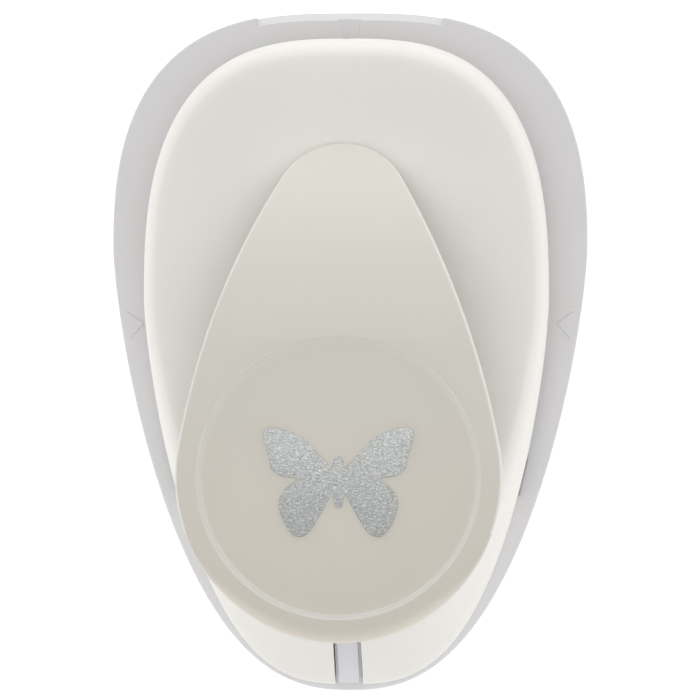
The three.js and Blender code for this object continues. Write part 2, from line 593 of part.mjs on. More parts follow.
function punchHolder() {
  const middle = plate(roundedRectangle([-13, 13], [-7, 16], 3), [HOLDER_UNDER, HOLDER_TOP]);
  const armOutline = roundedRectangle([-25.3, 25.3], [DIE_CENTRE_Y - 4, DIE_CENTRE_Y + 4], 3.9);
  const arms = plate(armOutline, [LUG_UNDER, HOLDER_TOP]);
  return cutBy(joined([middle, arms]), [
    ...PUNCH_SCREWS.map((at) => countersink(at, HOLDER_TOP - 0.1, 18)),
    ...drilled(PRESS_PLATE_SCREWS, THREAD + GAP, [20.6, 26]),
    ...[-POST.x, POST.x].map((x) => cylinder(x, DIE_CENTRE_Y, [18, 26], 2.95)),
  ]);
}

function pressPlate() {
  const blank = plate(roundedRectangle([-4, 4], [-4.2, 13], 2), [HOLDER_TOP + 0.05, HOLDER_TOP + 1.5]);
  return cutBy(blank, drilled(PRESS_PLATE_SCREWS, 1.5, [20, 30]));
}

function postBushing(x) {
  const sleeve = [[0, LUG_UNDER + 0.05], [2.8, LUG_UNDER + 0.05], [2.8, HOLDER_TOP + 0.05]];
  const collar = [[3.5, HOLDER_TOP + 0.05], [3.5, 24.8], [0, 24.8]];
  const bore = cylinder(x, DIE_CENTRE_Y, [18, 28], POST.radius + 0.15);
  return turned([...sleeve, ...collar], x, DIE_CENTRE_Y, 16).subtract(bore);
}

function guidePost(x) {
  const foot = GUIDE_UNDER + 0.5;
  const side = [[POST.radius, foot], [POST.radius, POST.top - 0.6], [1.4, POST.top]];
  return turned([[0, foot], ...side, [0, POST.top]], x, DIE_CENTRE_Y, 16);
}

// A compression spring whose end turns lie flat.
class SpringLine extends THREE.Curve {
  constructor(x, low, high) {
    super();
    Object.assign(this, { x, low, high });
  }

  getPoint(t, target = new THREE.Vector3()) {
    const turn = t * SPRING.turns;
    const active = SPRING.turns - 2 * SPRING.flatTurns;
    const rise = THREE.MathUtils.clamp((turn - SPRING.flatTurns) / active, 0, 1);
    const angle = 2 * Math.PI * turn;
    const x = this.x + SPRING.radius * Math.cos(angle);
    const y = DIE_CENTRE_Y + SPRING.radius * Math.sin(angle);
    return target.set(x, y, THREE.MathUtils.lerp(this.low, this.high, rise));
  }
}

function returnSpring(x) {
  const line = new SpringLine(x, GUIDE_TOP + SPRING.wire + 0.1, LUG_UNDER - SPRING.wire - 0.1);
  const wire = new THREE.Shape().absarc(0, 0, SPRING.wire, 0, 2 * Math.PI);
  const sweep = { extrudePath: line, steps: 42, curveSegments: 3, bevelEnabled: false };
  return solid(new THREE.ExtrudeGeometry(wire, sweep));
}

// ---- Lock ----
// A point `along` the nose slope from its foot and `out` from it.
function onSlope(along, out) {
  const [dy, dz] = NOSE_SLOPE.along;
  return [NOSE_SLOPE.y + along * dy - out * dz, NOSE_SLOPE.z + along * dz + out * dy];
}

function slopeBar([s0, s1], [d0, d1], [x0, x1]) {
  return upright([onSlope(s0, d0), onSlope(s1, d0), onSlope(s1, d1), onSlope(s0, d1)], [x0, x1]);
}

// A strip that lies nearly flush in the slot, on shoulders that fill the slot below it.
function lockSlider() {
  const { half, shoulderHalf, start, end } = LOCK_STRIP;
  return joined([
    slopeBar([start, end], [-1.2, -0.35], [-half, half]),
    slopeBar([start, end], [-1.9, -1.1], [-shoulderHalf, shoulderHalf]),
    slopeBar([1.5, 6], [-4.1, -1.8], [-half, half]),
    slopeBar([1.5, 6], [-4.1, -3.4], [-3.4, 3.4]),
  ]);
}

// Two rails under the nose that carry the slider's flanges.
function lockRails() {
  return [-1, 1].flatMap((side) => [
    slopeBar([1.5, 11.5], [-5.3, 0], across(side, 3.7, 4.9)),
    slopeBar([1.5, 11.5], [-5.3, -4.4], across(side, 2.5, 4.9)),
  ]);
}

// ---- Emblem ----
const emblemSpan = [PAD.floor + EMBLEM.gap, PAD.floor + EMBLEM.gap + EMBLEM.thick];
const butterflyEmblem = () => plate(butterfly(EMBLEM.width, EMBLEM.y), emblemSpan);

// ---- Assembly ----
const pieces = [];
const add = (name, manifold, material) => pieces.push([name, manifold, material]);
const addEach = (name, places, make, material) =>
  places.forEach((at, i) => add(`${name}_${i + 1}`, make(at), material));

add("base", base(), WHITE_PLASTIC);
add("die_plate", diePlate(), STEEL);
add("throat_spacer", throatSpacer(), STEEL);
add("guide_plate", guidePlate(), STEEL);
add("throat_cover", throatCover(), WHITE_PLASTIC);
add("upper_housing", upperHousing(), WHITE_PLASTIC);
add("pivot_bracket", pivotBracket(), STEEL);
add("pivot_pin", pivotPin(), STEEL);
for (const [side, word] of [[-1, "left"], [1, "right"]]) {
  add(`retaining_clip_${word}`, retainingClip(side), SPRING_STEEL);
  add(`pivot_washer_${word}`, pivotWasher(side), NATURAL_NYLON);
  add(`guide_post_${word}`, guidePost(side * POST.x), STEEL);
  add(`return_spring_${word}`, returnSpring(side * POST.x), SPRING_STEEL);
  add(`post_bushing_${word}`, postBushing(side * POST.x), NATURAL_NYLON);
}
addEach("bracket_rivet", BRACKET_RIVETS, bracketRivet, STEEL);
addEach("base_screw", BASE_SCREWS, (at) => screw(at, 1.6, 24, false), ZINC_SCREW);
addEach("die_screw", DIE_SCREWS, (at) => screw(at, DECK_TOP - 0.1, 2.5, true), ZINC_SCREW);
addEach("guide_screw", GUIDE_SCREWS, (at) => screw(at, GUIDE_UNDER + 0.1, 19.5, true), ZINC_SCREW);
addEach("cover_screw", COVER_SCREWS, (at) => screw(at, SKIRT_UNDER + 0.1, 20, true), ZINC_SCREW);

add("lever_cover", leverCover(), WHITE_PLASTIC);
add("lever_frame", leverFrame(), STEEL);
add("press_pin", pressPin(), STEEL);
const leverScrew = (at) => screw(at, leverCrest(at[1]) - FRAME.drop - 3, leverCrest(at[1]) - 1.9, false);
addEach("lever_screw", LEVER_SCREWS, leverScrew, ZINC_SCREW);
add("butterfly_emblem", butterflyEmblem(), SILVER_FOIL);

add("punch", punch(), STEEL);
add("punch_holder", punchHolder(), DIE_CAST);
add("press_plate", pressPlate(), STEEL);
addEach("punch_screw", PUNCH_SCREWS, (at) => screw(at, HOLDER_TOP - 0.1, 14, true), ZINC_SCREW);
const pressPlateScrew = (at) => screw(at, HOLDER_TOP + 3.05, 21.2, false);
addEach("press_plate_screw", PRESS_PLATE_SCREWS, pressPlateScrew, ZINC_SCREW);

add("lock_slider", lockSlider(), WHITE_PLASTIC);

const part = new THREE.Group();
part.name = "craft_punch";
for (const [name, manifold, material] of pieces) {
  const mesh = new THREE.Mesh(geometryOf(manifold), material.clone());
  mesh.name = name;
  part.add(mesh);
}

export default part;
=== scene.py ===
"""Looks of the craft punch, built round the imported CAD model.

Shapes are laid out in millimetres in the CAD frame and turned into metres when a mesh is made.
+Y points to the wide end, where the lever is hinged, and -Y to the thumb pad.
"""

import json
import math

import bmesh
import bpy
import numpy as np
from mathutils import Matrix, Vector


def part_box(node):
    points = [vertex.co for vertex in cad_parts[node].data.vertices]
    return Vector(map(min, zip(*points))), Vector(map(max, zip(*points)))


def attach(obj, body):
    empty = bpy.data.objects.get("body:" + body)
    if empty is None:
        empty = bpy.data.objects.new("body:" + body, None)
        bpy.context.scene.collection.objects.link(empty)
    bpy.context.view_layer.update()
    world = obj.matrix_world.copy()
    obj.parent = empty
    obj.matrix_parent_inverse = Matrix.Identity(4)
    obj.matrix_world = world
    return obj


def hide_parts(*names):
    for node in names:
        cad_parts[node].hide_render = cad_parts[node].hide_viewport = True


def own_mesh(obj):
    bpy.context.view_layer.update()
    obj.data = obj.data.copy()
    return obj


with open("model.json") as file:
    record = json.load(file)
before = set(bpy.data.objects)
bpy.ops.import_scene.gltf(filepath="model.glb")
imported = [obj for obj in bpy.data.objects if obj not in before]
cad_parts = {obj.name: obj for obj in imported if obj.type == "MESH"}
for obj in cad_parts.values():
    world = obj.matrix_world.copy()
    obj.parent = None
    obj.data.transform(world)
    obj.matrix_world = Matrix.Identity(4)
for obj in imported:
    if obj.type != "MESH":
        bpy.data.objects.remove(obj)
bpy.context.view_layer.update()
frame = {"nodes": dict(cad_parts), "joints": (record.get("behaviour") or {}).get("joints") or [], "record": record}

# ---- Sizes from the frame, in millimetres ----
MM = 0.001


def box_mm(node):
    low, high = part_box(node)
    return np.array(low) / MM, np.array(high) / MM


base_low, base_high = box_mm("base")
housing_under = box_mm("upper_housing")[0][2]
lever_low, lever_high = box_mm("lever_cover")
die_under = box_mm("die_plate")[0][2]
guide_top = box_mm("guide_plate")[1][2]
throat_end_y = box_mm("throat_spacer")[1][1]
emblem_low, emblem_high = box_mm("butterfly_emblem")
post_low, post_high = box_mm("guide_post_right")
joints = {joint["name"]: joint for joint in frame["joints"]}
hinge = np.array(joints["lever_press"]["pos_m"]) / MM
lever_swing = math.radians(joints["lever_press"]["range_deg"][1])
lock_direction = joints["lock_slide"]["axis"]

DECK_TOP = base_high[2]
DECK_UNDER = 5.5
EDGE_ROUND = 0.35
DIE_POCKET_FLOOR = die_under - 0.05
DIE_CENTRE_Y = (post_low[1] + post_high[1]) / 2
SKIRT_UNDER = 11.4
WALL = 2.2
BOSS_RADIUS = 2.9
SCREW_HOLE = 1.4
NOSE_FOOT_Y = -52
NOSE_FOOT_Z = 13

# The lever: its crest is level over the pad and falls along a power curve to the tip
LEVER_SHELL = 2.4
LEVER_TOP = lever_high[2]
LEVER_FALL = 16.5
LEVER_TIP_Y = 32.5
LEVER_CURVE = 2.05
LEVER_SIDE = 5.2
LEVER_RIM = 32.5
FLANK_ROUND = 0.5
FRONT_ROUND = 3.2
FRONT_DROP = 3.0
ROUND_PAD = 25
PAD_Y = -19.1
FRONT_STRETCH = (PAD_Y - lever_low[1]) / ROUND_PAD

# The recess in the pad: its centre, the outer radius and width of its wall, and its floor
DISH_Y = -19.3
PAD_RADIUS = 21.8
PAD_WALL = 0.8
PAD_FLOOR = emblem_low[2] - 0.05

# Egg outlines: half width, rear, front, widest line, exponents behind and in front of that line
BASE_EGG = (base_high[0], base_high[1], base_low[1], 16.7, (3.06, 2.5), (2.49, 1.415))
HOUSING_POWERS = (8, (2.85, 2.75), (2.7, 1.4))
NOSE_FULLNESS = 0.15
# Rings of the housing's skin: half width, rear, front, height at the rear and sides, height at the nose,
# and how full the nose is, from 0 to 1
HOUSING_RINGS = np.array(
    [
        (30.9, 48.5, -53.9, housing_under, housing_under, 1),
        (31.5, 49.1, -53.8, 13.5, 10.6, 1),
        (32.2, 49.85, -52.1, 19.5, 13, 0.5),
        (32, 49.1, -48.7, 25, 17, 0),
        (31.5, 48.3, -45.4, 28.3, 20.8, 0),
        (30.75, 47.4, -42.3, 30.1, 23.5, 0),
        (29.4, 45.8, -38.9, 31.15, 25.6, 0),
        (26.5, 42.6, -34.8, 31.7, 26.7, 0),
        (22, 38.5, -29, 31.95, 27.7, 0),
        (11, 28, -14, 32.1, 29.4, 0),
    ]
)
PLATE_RIGHT = [(14, 31), (22, 31), (25, 28), (25, -17), (23, -23), (17, -35), (14, -37)]
BASE_SCREWS = [(9, -33), (-9, -33), (17, -28.5), (-17, -28.5)]
DIE_SCREWS = [(20, 24), (-20, 24)]
GUIDE_SCREWS = [(20.5, 20), (-20.5, 20)]
COVER_SCREWS = [(15, 36.5), (-15, 36.5)]
LEVER_SCREWS = [(0, -9.5), (0, 1)]
SPRING_RADIUS = 2.95
SPRING_WIRE = 0.4
SPRING_TURNS = 4.2
SPRING_FLAT_TURNS = 0.75

# Light: the tent's brightest radiance, its share of that from the horizon up to overhead, how much
# brighter its rear wall is than its middle, and the floor's own glow
TENT_BRIGHTNESS = 2.35
TENT_SHARES = [(0, 1), (0.2, 0.48), (0.45, 0.14), (0.7, 0.11), (1, 0.71)]
REAR_EXTRA = 0.15
FLOOR_GLOW = 0.95


# ---- Meshes ----
def make_object(name, verts, faces):
    """An object from points in millimetres, with its faces turned outwards."""
    bm = bmesh.new()
    made = [bm.verts.new(Vector(v) * MM) for v in verts]
    for face in faces:
        bm.faces.new([made[i] for i in face])
    bmesh.ops.remove_doubles(bm, verts=bm.verts, dist=1e-7)
    bmesh.ops.recalc_face_normals(bm, faces=bm.faces)
    mesh = bpy.data.meshes.new(name)
    bm.to_mesh(mesh)
    bm.free()
    obj = bpy.data.objects.new(name, mesh)
    bpy.context.scene.collection.objects.link(obj)
    return obj


def apply_modifiers(obj):
    depsgraph = bpy.context.evaluated_depsgraph_get()
    made = bpy.data.meshes.new_from_object(obj.evaluated_get(depsgraph))
    old = obj.data
    obj.modifiers.clear()
    obj.data = made
    bpy.data.meshes.remove(old)


def combine(obj, tools, operation):
    """Joins the tools to obj or cuts them from it, one after another, and removes them."""
    for tool in tools:
        modifier = obj.modifiers.new("combine", "BOOLEAN")
        modifier.object = tool
        modifier.operation = operation
        modifier.solver = "EXACT"
        apply_modifiers(obj)
        bpy.data.objects.remove(tool)
    return obj


def join(obj, *tools):
    return combine(obj, tools, "UNION")


def cut(obj, *tools):
    return combine(obj, tools, "DIFFERENCE")


def soften(obj, width, segments=2, angle=35):
    """A real bevel on every hard edge."""
    modifier = obj.modifiers.new("bevel", "BEVEL")
    modifier.width = width * MM
    modifier.segments = segments
    modifier.limit_method = "ANGLE"
    modifier.angle_limit = math.radians(angle)
    modifier.use_clamp_overlap = True
    return obj


def shade(obj, angle=32):
    """Smooth shading that breaks at edges sharper than the angle."""
    bm = bmesh.new()
    bm.from_mesh(obj.data)
    for face in bm.faces:
        face.smooth = True
    for edge in bm.edges:
        edge.smooth = len(edge.link_faces) == 2 and edge.calc_face_angle(0) < math.radians(angle)
    bm.to_mesh(obj.data)
    bm.free()


def finish_piece(obj, body, slot, material, *replaced):
    shade(obj)
    obj.data.materials.clear()
    obj.data.materials.append(material)
    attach(obj, body)
    if replaced:
        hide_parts(*replaced)
    return obj


def skin(name, rings, low_cap, high_cap):
    """A closed mesh over rings of equal length.

    A cap is "flat" for one face, or "ladder" for strips across X.
    """
    count = len(rings[0])
    faces = []
    for r in range(len(rings) - 1):
        for i in range(count):
            j = (i + 1) % count
            faces.append((r * count + i, r * count + j, (r + 1) * count + j, (r + 1) * count + i))
    for start, cap in ((0, low_cap), ((len(rings) - 1) * count, high_cap)):
        if cap == "flat":
            faces.append([start + i for i in range(count)])
            continue
        for k in range(count // 2):
            corners = [-k % count, k, k + 1, -(k + 1) % count]
            faces.append([start + c for c in dict.fromkeys(corners)])
    return make_object(name, [p for ring in rings for p in ring], faces)


def prism(name, points, low, high):
    """A plate with an outline in X and Y."""
    n = len(points)
    verts = [(x, y, low) for x, y in points] + [(x, y, high) for x, y in points]
    sides = [(i, (i + 1) % n, n + (i + 1) % n, n + i) for i in range(n)]
    return make_object(name, verts, sides + [list(range(n)), list(range(n, 2 * n))])


def upright(name, points, left, right):
    """A plate with an outline in Y and Z."""
    n = len(points)
    verts = [(left, y, z) for y, z in points] + [(right, y, z) for y, z in points]
    sides = [(i, (i + 1) % n, n + (i + 1) % n, n + i) for i in range(n)]
    return make_object(name, verts, sides + [list(range(n)), list(range(n, 2 * n))])


def block(name, x, y, z):
    return prism(name, [(x[0], y[0]), (x[1], y[0]), (x[1], y[1]), (x[0], y[1])], *z)


def turned(name, profile, x, y, sides=48):
    """A profile of (radius, height) pairs, closed on the axis, turned about a line at x, y."""
    rings = [
        [
            (x + r * math.cos(2 * math.pi * i / sides), y + r * math.sin(2 * math.pi * i / sides), z)
            for i in range(sides)
        ]
        for r, z in profile[1:-1]
    ]
    return skin(name, rings, "flat", "flat")


def rod(name, x, y, z, radius, sides=40):
    return turned(name, [(0, z[0]), (radius, z[0]), (radius, z[1]), (0, z[1])], x, y, sides)


# ---- Outlines ----
def evenly(points, count):
    """A closed outline with its points spread evenly along it, starting where it started."""
    closed = np.vstack([points, points[:1]])
    length = np.concatenate([[0], np.cumsum(np.linalg.norm(np.diff(closed, axis=0), axis=1))])
    at = np.linspace(0, length[-1], count, endpoint=False)
    return np.stack([np.interp(at, length, closed[:, k]) for k in (0, 1)], axis=1)


def egg(half, rear, front, widest, rear_power, front_power, count=208, fine=2880):
    """An egg outline that starts at its rear point and runs anticlockwise."""
    angle = np.linspace(0, 2 * np.pi, fine, endpoint=False) + np.pi / 2
    c, s = np.cos(angle), np.sin(angle)
    c[np.abs(c) < 1e-12] = 0
    behind = s >= 0
    p = np.where(behind, rear_power[0], front_power[0])
    q = np.where(behind, rear_power[1], front_power[1])
    reach = np.where(behind, rear - widest, front - widest)
    x = half * np.sign(c) * np.abs(c) ** (2 / p)
    y = widest + reach * np.abs(s) ** (2 / q)
    return evenly(np.stack([x, y], axis=1), count)


def base_ring(inset, z):
    half, rear, front, widest, rear_power, front_power = BASE_EGG
    outline = egg(half - inset, rear - inset, front + inset, widest, rear_power, front_power)
    return [(x, y, z) for x, y in outline]


def smoothstep(value, low, high):
    t = np.clip((value - low) / (high - low), 0, 1)
    return t * t * (3 - 2 * t)


def teardrop(inset, pad_radius=ROUND_PAD, tip_y=21.9, tip_radius=10.6, flank_radius=130, count=280):
    """The lever's outline from its tip round, shrunk by inset: two circles and two flanks."""
    to_pad, to_tip, spacing = flank_radius - pad_radius, flank_radius - tip_radius, tip_y - PAD_Y
    flank_y = PAD_Y + (spacing**2 + to_pad**2 - to_tip**2) / (2 * spacing)
    flank_x = math.sqrt(to_pad**2 - (PAD_Y - flank_y) ** 2)
    pad_angle = math.atan2(PAD_Y - flank_y, flank_x)
    tip_angle = math.atan2(tip_y - flank_y, flank_x)

    def arc(x, y, radius, start, end, steps):
        angle = np.linspace(start, end, steps, endpoint=False)
        reach = radius - inset
        return np.stack([x + reach * np.cos(angle), y + reach * np.sin(angle)], axis=1)

    half_tip = arc(0, tip_y, tip_radius, math.pi / 2, math.pi - tip_angle, 400)
    flank = arc(flank_x, flank_y, flank_radius, math.pi - tip_angle, math.pi - pad_angle, 800)
    half_pad = arc(0, PAD_Y, pad_radius, math.pi - pad_angle, 1.5 * math.pi, 800)
    left = np.vstack([half_tip, flank, half_pad, [[0, PAD_Y - pad_radius + inset]]])
    whole = np.vstack([left, left[1:-1][::-1] * [-1, 1]])
    before_pad = np.minimum(whole[:, 1] - PAD_Y, 0)
    whole[:, 1] += before_pad * (FRONT_STRETCH - 1)
    return evenly(whole, count)


def plate_outline(grow=0):
    right = [(x + grow, y + math.copysign(grow, y)) for x, y in PLATE_RIGHT]
    return right + [(-x, y) for x, y in reversed(right)]


def rounded_rectangle(x, y, radius, steps=8):
    corners = [(x[1], y[1]), (x[0], y[1]), (x[0], y[0]), (x[1], y[0])]
    signs = [(-1, -1), (1, -1), (1, 1), (-1, 1)]
    points = []
    for quarter, ((cx, cy), (sx, sy)) in enumerate(zip(corners, signs)):
        for i in range(steps + 1):
            angle = math.pi / 2 * (quarter + i / steps)
            x_at = cx + sx * radius + radius * math.cos(angle)
            y_at = cy + sy * radius + radius * math.sin(angle)
            points.append((x_at, y_at))
    return points


def smooth_line(values, per_step):
    """A Catmull-Rom curve through rows of values."""
    padded = np.vstack([2 * values[0] - values[1], values, 2 * values[-1] - values[-2]])
    rows = []
    for i in range(len(values) - 1):
        a, b, c, d = padded[i : i + 4]
        for t in np.arange(per_step) / per_step:
            slope = (c - a) * t
            square = (2 * a - 5 * b + 4 * c - d) * t**2
            cube = (3 * b - a - 3 * c + d) * t**3
            rows.append(0.5 * (2 * b + slope + square + cube))
    return np.array(rows + [values[-1]])


# ---- Materials ----
def new_material(name):
    material = bpy.data.materials.new(name)
    material.use_nodes = True
    nodes, links = material.node_tree.nodes, material.node_tree.links
    return material, nodes, links, nodes["Principled BSDF"]


def noise(nodes, links, scale, detail=2.0, roughness=0.5):
    place = nodes.new("ShaderNodeTexCoord")
    texture = nodes.new("ShaderNodeTexNoise")
    texture.inputs["Scale"].default_value = scale
    texture.inputs["Detail"].default_value = detail
    texture.inputs["Roughness"].default_value = roughness
    links.new(place.outputs["Object"], texture.inputs["Vector"])
    return texture.outputs["Fac"]


def tint(nodes, links, shader, factor, dark, light, low=0.3, high=0.7):
    """Colour that drifts between two close tones."""
    ramp = nodes.new("ShaderNodeValToRGB")
    ramp.color_ramp.elements[0].position = low
    ramp.color_ramp.elements[1].position = high
    ramp.color_ramp.elements[0].color = (*dark, 1)
    ramp.color_ramp.elements[1].color = (*light, 1)
    links.new(factor, ramp.inputs["Fac"])
    links.new(ramp.outputs["Color"], shader.inputs["Base Color"])


def bump(nodes, links, shader, height, strength, distance):
    node = nodes.new("ShaderNodeBump")
    node.inputs["Strength"].default_value = strength
    node.inputs["Distance"].default_value = distance
    links.new(height, node.inputs["Height"])
    links.new(node.outputs["Normal"], shader.inputs["Normal"])


def spread_roughness(nodes, links, shader, factor, low, high):
    remap = nodes.new("ShaderNodeMapRange")
    remap.inputs["To Min"].default_value = low
    remap.inputs["To Max"].default_value = high
    links.new(factor, remap.inputs["Value"])
    links.new(remap.outputs["Result"], shader.inputs["Roughness"])


def moulded_plastic(name, dark, light, roughness, grain=0.12):
    """Satin moulded plastic: a slight drift of tone and a fine spark-eroded grain."""
    material, nodes, links, shader = new_material(name)
    tint(nodes, links, shader, noise(nodes, links, 45, 3), dark, light)
    bump(nodes, links, shader, noise(nodes, links, 2600, 2, 0.6), grain, 0.00004)
    patches = noise(nodes, links, 300, 2)
    spread_roughness(nodes, links, shader, patches, roughness - 0.05, roughness + 0.06)
    shader.inputs["IOR"].default_value = 1.49
    return material


def shade_graded_plastic(name, front, rear, front_y, rear_y, roughness):
    """Moulded plastic with painted shade: its tone runs, a little unevenly, from the front colour at front_y to
    the rear colour at rear_y.
    """
    unevenness = 0.3
    material = moulded_plastic(name, front, rear, roughness)
    nodes, links = material.node_tree.nodes, material.node_tree.links
    ramp = nodes["Color Ramp"]
    place = nodes.new("ShaderNodeTexCoord")
    split = nodes.new("ShaderNodeSeparateXYZ")
    # The painted shade: a gradient along Y, mottled by the noise below.
    along = nodes.new("ShaderNodeMapRange")
    along.inputs["From Min"].default_value = front_y * MM
    along.inputs["From Max"].default_value = rear_y * MM
    mottle = nodes.new("ShaderNodeMath")
    mottle.operation = "MULTIPLY_ADD"
    mottle.inputs[1].default_value = unevenness
    total = nodes.new("ShaderNodeMath")
    total.inputs[1].default_value = -unevenness / 2
    links.new(place.outputs["Object"], split.inputs["Vector"])
    links.new(split.outputs["Y"], along.inputs["Value"])
    links.new(noise(nodes, links, 45, 3), mottle.inputs[0])
    links.new(along.outputs["Result"], mottle.inputs[2])
    links.new(mottle.outputs["Value"], total.inputs[0])
    links.new(total.outputs["Value"], ramp.inputs["Fac"])
    ramp.color_ramp.elements[0].position = 0
    ramp.color_ramp.elements[1].position = 1
    return material


def metal(name, dark, light, roughness, stretch=(1, 1, 1), scale=900, strength=0.15):
    """Ground or drawn metal: fine marks, stretched along one axis for a brushed look."""
    material, nodes, links, shader = new_material(name)
    place = nodes.new("ShaderNodeTexCoord")
    mapping = nodes.new("ShaderNodeMapping")
    mapping.inputs["Scale"].default_value = stretch
    texture = nodes.new("ShaderNodeTexNoise")
    texture.inputs["Scale"].default_value = scale
    texture.inputs["Detail"].default_value = 4
    links.new(place.outputs["Object"], mapping.inputs["Vector"])
    links.new(mapping.outputs["Vector"], texture.inputs["Vector"])
    tint(nodes, links, shader, texture.outputs["Fac"], dark, light)
    bump(nodes, links, shader, texture.outputs["Fac"], strength, 0.00003)
    spread_roughness(nodes, links, shader, texture.outputs["Fac"], roughness - 0.08, roughness + 0.1)
    shader.inputs["Metallic"].default_value = 1.0
    return material


def crinkled_foil(name):
    """Hot-stamped silver foil with a fine crinkle, and painted shade that darkens it towards the tail."""
    dark, light = (0.46, 0.475, 0.465), (0.78, 0.80, 0.785)
    material, nodes, links, shader = new_material(name)
    place = nodes.new("ShaderNodeTexCoord")
    mapping = nodes.new("ShaderNodeMapping")
    mapping.inputs["Scale"].default_value = (1, 1.5, 1)
    cells = nodes.new("ShaderNodeTexNoise")
    cells.inputs["Scale"].default_value = 2300
    cells.inputs["Detail"].default_value = 3
    cells.inputs["Distortion"].default_value = 0.8
    split = nodes.new("ShaderNodeSeparateXYZ")
    # The painted shade: a gradient along Y, darker towards the tail.
    along = nodes.new("ShaderNodeMapRange")
    along.inputs["From Min"].default_value = emblem_low[1] * MM
    along.inputs["From Max"].default_value = emblem_high[1] * MM
    along.inputs["To Min"].default_value = -0.15
    along.inputs["To Max"].default_value = 0.1
    total = nodes.new("ShaderNodeMath")
    links.new(place.outputs["Object"], mapping.inputs["Vector"])
    links.new(mapping.outputs["Vector"], cells.inputs["Vector"])
    links.new(place.outputs["Object"], split.inputs["Vector"])
    links.new(split.outputs["Y"], along.inputs["Value"])
    links.new(cells.outputs["Fac"], total.inputs[0])
    links.new(along.outputs["Result"], total.inputs[1])
    tint(nodes, links, shader, total.outputs["Value"], dark, light)
    bump(nodes, links, shader, cells.outputs["Fac"], 0.8, 0.0003)
    shader.inputs["Metallic"].default_value = 0.85
    shader.inputs["Roughness"].default_value = 0.4
    return material


WHITE_SHELL = moulded_plastic("white_shell", (0.87, 0.856, 0.81), (0.895, 0.882, 0.835), 0.42)
# Painted shade: the base is darker towards the rear and lighter towards the nose.
WHITE_BASE = shade_graded_plastic("white_base", (0.86, 0.85, 0.865), (0.745, 0.735, 0.74), -45, 25, 0.42)
# Painted shade: the lever is darker and warmer towards the thumb pad.
LEVER_WHITE = shade_graded_plastic("lever_white", (0.705, 0.655, 0.567), (0.775, 0.752, 0.678), -50, 8, 0.45)
# Painted highlight: a lighter tone for the pad's wall and the lever's rounded flanks.
LEVER_EDGE_HIGHLIGHT = moulded_plastic("lever_edge", (0.785, 0.768, 0.72), (0.81, 0.793, 0.745), 0.4)
# Painted shade: the lock is white plastic, given a darker blue-grey for the shade in its slot.
LOCK_PAINTED_SHADE = moulded_plastic("lock_plastic", (0.735, 0.725, 0.76), (0.76, 0.75, 0.785), 0.38)
NYLON = moulded_plastic("natural_nylon", (0.72, 0.68, 0.55), (0.78, 0.74, 0.62), 0.5)
STEEL = metal("ground_steel", (0.42, 0.43, 0.44), (0.56, 0.57, 0.58), 0.34, (1, 9, 1))
DIE_CAST = metal("die_cast", (0.34, 0.35, 0.36), (0.44, 0.45, 0.46), 0.5, scale=420, strength=0.3)
SPRING_STEEL = metal("spring_steel", (0.45, 0.46, 0.48), (0.6, 0.61, 0.62), 0.28)
ZINC = metal("zinc_plate", (0.55, 0.56, 0.58), (0.7, 0.71, 0.73), 0.3)
FOIL = crinkled_foil("silver_foil")


# ---- Base ----
def groove(x, turn, length=3.4, width=0.42, depth=0.15):
    """A shallow V-shaped engraving that starts at x and runs along the direction `turn`."""
    c, s = math.cos(turn), math.sin(turn)
    section = [(-width / 2, DECK_TOP + 0.02), (width / 2, DECK_TOP + 0.02), (0, DECK_TOP - depth)]
    verts = [
        (x + along * c - side * s, DIE_CENTRE_Y + along * s + side * c, z)
        for along in (0, length)
        for side, z in section
    ]
    return make_object("groove", verts, [(0, 1, 2), (3, 4, 5), (0, 1, 4, 3), (1, 2, 5, 4), (2, 0, 3, 5)])


def rear_mark():
    """A tapered recess with sloping sides, which runs out through the bevel."""
    depth, slope = 0.35, 0.3
    tip, tip_y, end, end_y = 1.3, 50, 2.2, 54.5
    low = [(tip - slope, tip_y), (end - slope, end_y), (slope - end, end_y), (slope - tip, tip_y)]
    high = [(tip, tip_y), (end, end_y), (-end, end_y), (-tip, tip_y)]
    verts = [(x, y, DECK_TOP - depth) for x, y in low] + [(x, y, DECK_TOP + 0.01) for x, y in high]
    sides = [(i, (i + 1) % 4, 4 + (i + 1) % 4, 4 + i) for i in range(4)]
    return make_object("rear_mark", verts, [*sides, (0, 1, 2, 3), (4, 5, 6, 7)])


def throat_end_slot(side):
    """A narrow slot in the deck, under the housing's edge where the throat ends."""
    width, depth, rear_x, rear_y, front_x = 0.65, 0.7, 28.25, -17.5, 26.85
    right = [(rear_x, rear_y), (rear_x + width, rear_y)]
    right += [(front_x + width, throat_end_y), (front_x, throat_end_y)]
    return prism("slot", [(side * x, y) for x, y in right], DECK_TOP - depth, DECK_TOP + 1)


def rear_bevel():
    """What the sloping cut takes off the middle of the rear edge."""
    slope = [base_ring(inset, z) for inset, z in ((-1, 4), (-0.1, 6.4), (1.35, 9), (1.8, 10.2))]
    keep = skin("keep", slope, "flat", "flat")
    wedge = block("wedge", (-15.1, 15.1), (40, 60), (5.2, DECK_TOP + 1))
    return cut(wedge, keep)


